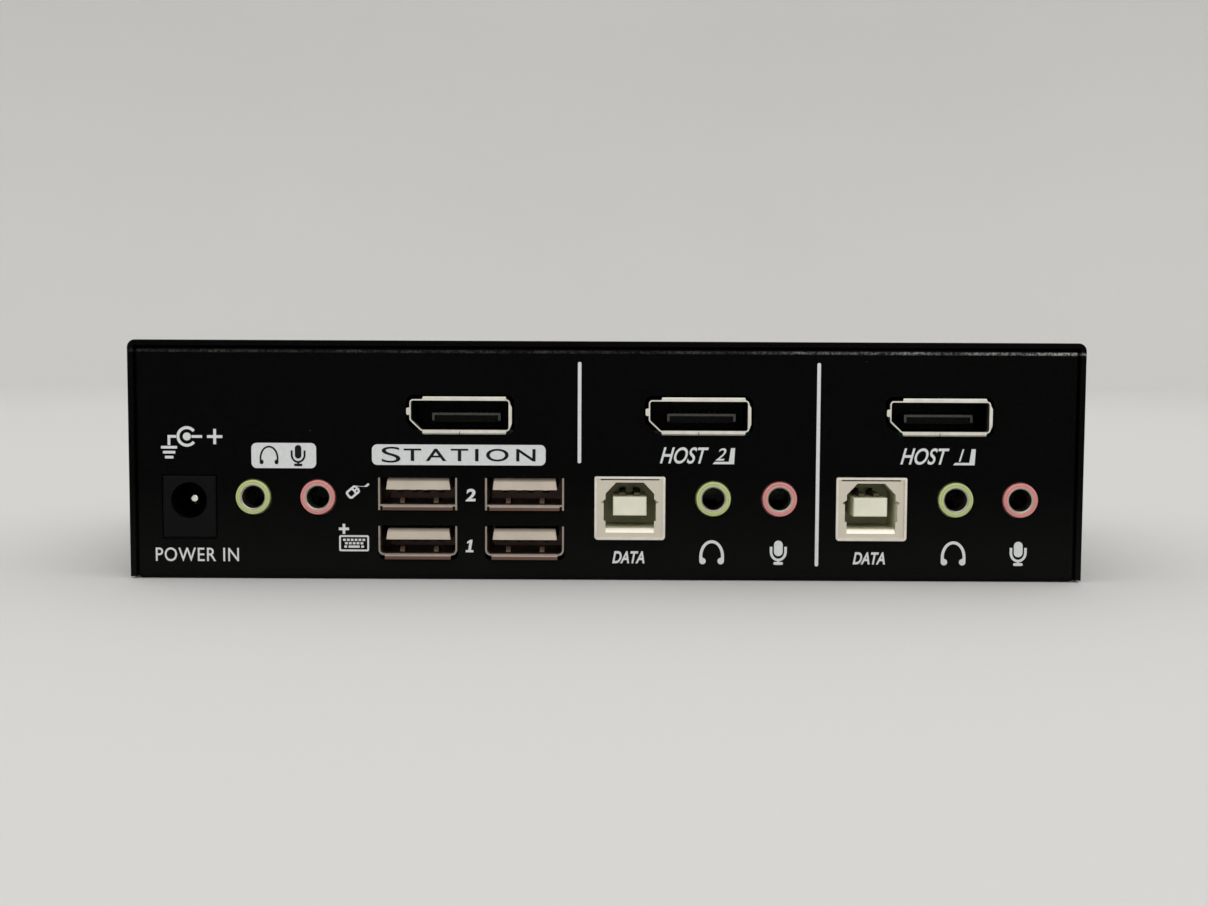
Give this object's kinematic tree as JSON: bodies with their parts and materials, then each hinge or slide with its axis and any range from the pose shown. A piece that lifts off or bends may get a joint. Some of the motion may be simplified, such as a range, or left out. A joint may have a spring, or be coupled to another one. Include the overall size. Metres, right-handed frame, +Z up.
{
  "type": "kvm switch",
  "caption": "Desktop keyboard, video and mouse switch box in black sheet steel, with a row of display, USB, audio and power sockets on one long side and push buttons on the other.",
  "frame": {"origin": "middle of the underside, at the centre of the bounding box", "axes": "+X along the case's width, to the right as seen from the socket side; -Y out of the sockets, +Y out of the buttons; +Z up"},
  "size_m": [0.1622, 0.101, 0.0407],
  "materials": {
    "case_black": "fine matt powder coat",
    "screw_black": "black oxide",
    "label_black": "matt printed film",
    "fastener_steel": "plain zinc",
    "spacer_brass": "plain",
    "board_green": "solder mask",
    "component_black": "moulded",
    "crystal_steel": "satin",
    "capacitor_sleeve": "shrunk sleeve",
    "ferrite_grey": "pressed ferrite",
    "ceramic_tan": "ceramic",
    "displayport_nickel": "satin nickel plate",
    "socket_black": "moulded",
    "inlet_black": "moulded",
    "pin_nickel": "polished nickel plate",
    "usb_a_nickel": "satin nickel plate",
    "usb_a_white": "moulded, off-white",
    "usb_b_nickel": "satin nickel plate",
    "usb_b_cream": "moulded, cream",
    "contact_gold": "thin gold plate",
    "contact_grey": "dull tin plate",
    "contact_tin": "tin plate",
    "jack_lime": "moulded, lime",
    "jack_pink": "moulded, pink",
    "bushing_nickel": "polished nickel plate",
    "button_grey": "moulded, fine texture",
    "plunger_white": "moulded",
    "lamp_green": "tinted clear lens",
    "legend_white": "screen-printed ink",
    "legend_dark": "screen-printed ink"
  },
  "bodies": {
    "case": {"board_screws": "fastener_steel", "board_spacers": "spacer_brass", "board_standoffs": "fastener_steel", "button_panel": "case_black", "buzzer": "component_black", "chassis_tray": "case_black", "chip_capacitors": "ceramic_tan", "controller_chip": "component_black", "cover_screws": "screw_black", "crystals": "crystal_steel", "displayport_contacts_computer_1": "contact_grey", "displayport_contacts_computer_2": "contact_grey", "displayport_contacts_console": "contact_grey", "displayport_insert_computer_1": "socket_black", "displayport_insert_computer_2": "socket_black", "displayport_insert_console": "socket_black", "displayport_shell_computer_1": "displayport_nickel", "displayport_shell_computer_2": "displayport_nickel", "displayport_shell_console": "displayport_nickel", "electrolytic_capacitors": "capacitor_sleeve", "front_label": "label_black", "headphone_jack_computer_1": "jack_lime", "headphone_jack_computer_2": "jack_lime", "headphone_jack_console": "jack_lime", "inlet_housing": "inlet_black", "inlet_pin": "pin_nickel", "inlet_spring": "contact_gold", "jack_bushings": "bushing_nickel", "jack_contacts": "pin_nickel", "link_plug": "component_black", "link_socket": "component_black", "main_board": "board_green", "microphone_jack_computer_1": "jack_pink", "microphone_jack_computer_2": "jack_pink", "microphone_jack_console": "jack_pink", "port_lamps": "lamp_green", "power_inductors": "ferrite_grey", "socket_panel": "case_black", "tactile_switches": "component_black", "top_cover": "case_black", "usb_a_contacts_left": "contact_gold", "usb_a_contacts_right": "contact_gold", "usb_a_insert_left": "usb_a_white", "usb_a_insert_right": "usb_a_white", "usb_a_shell_left": "usb_a_nickel", "usb_a_shell_right": "usb_a_nickel", "usb_b_contacts_computer_1": "contact_tin", "usb_b_contacts_computer_2": "contact_tin", "usb_b_insert_computer_1": "usb_b_cream", "usb_b_insert_computer_2": "usb_b_cream", "usb_b_shell_computer_1": "usb_b_nickel", "usb_b_shell_computer_2": "usb_b_nickel", "usb_hub_chips": "component_black", "video_board": "board_green", "video_switch_chip": "component_black", "voltage_regulators": "component_black"},
    "select_button_1": {"select_button_1": "button_grey", "switch_plunger_1": "plunger_white"},
    "select_button_2": {"select_button_2": "button_grey", "switch_plunger_2": "plunger_white"}
  },
  "joints": [
    {"name": "select_button_1_press", "type": "slide", "parent": "case", "child": "select_button_1", "axis": [0, -1, 0], "range_m": [0, 0.0005], "stiffness_N_per_m": 1500},
    {"name": "select_button_2_press", "type": "slide", "parent": "case", "child": "select_button_2", "axis": [0, -1, 0], "range_m": [0, 0.0005], "stiffness_N_per_m": 1500}
  ]
}
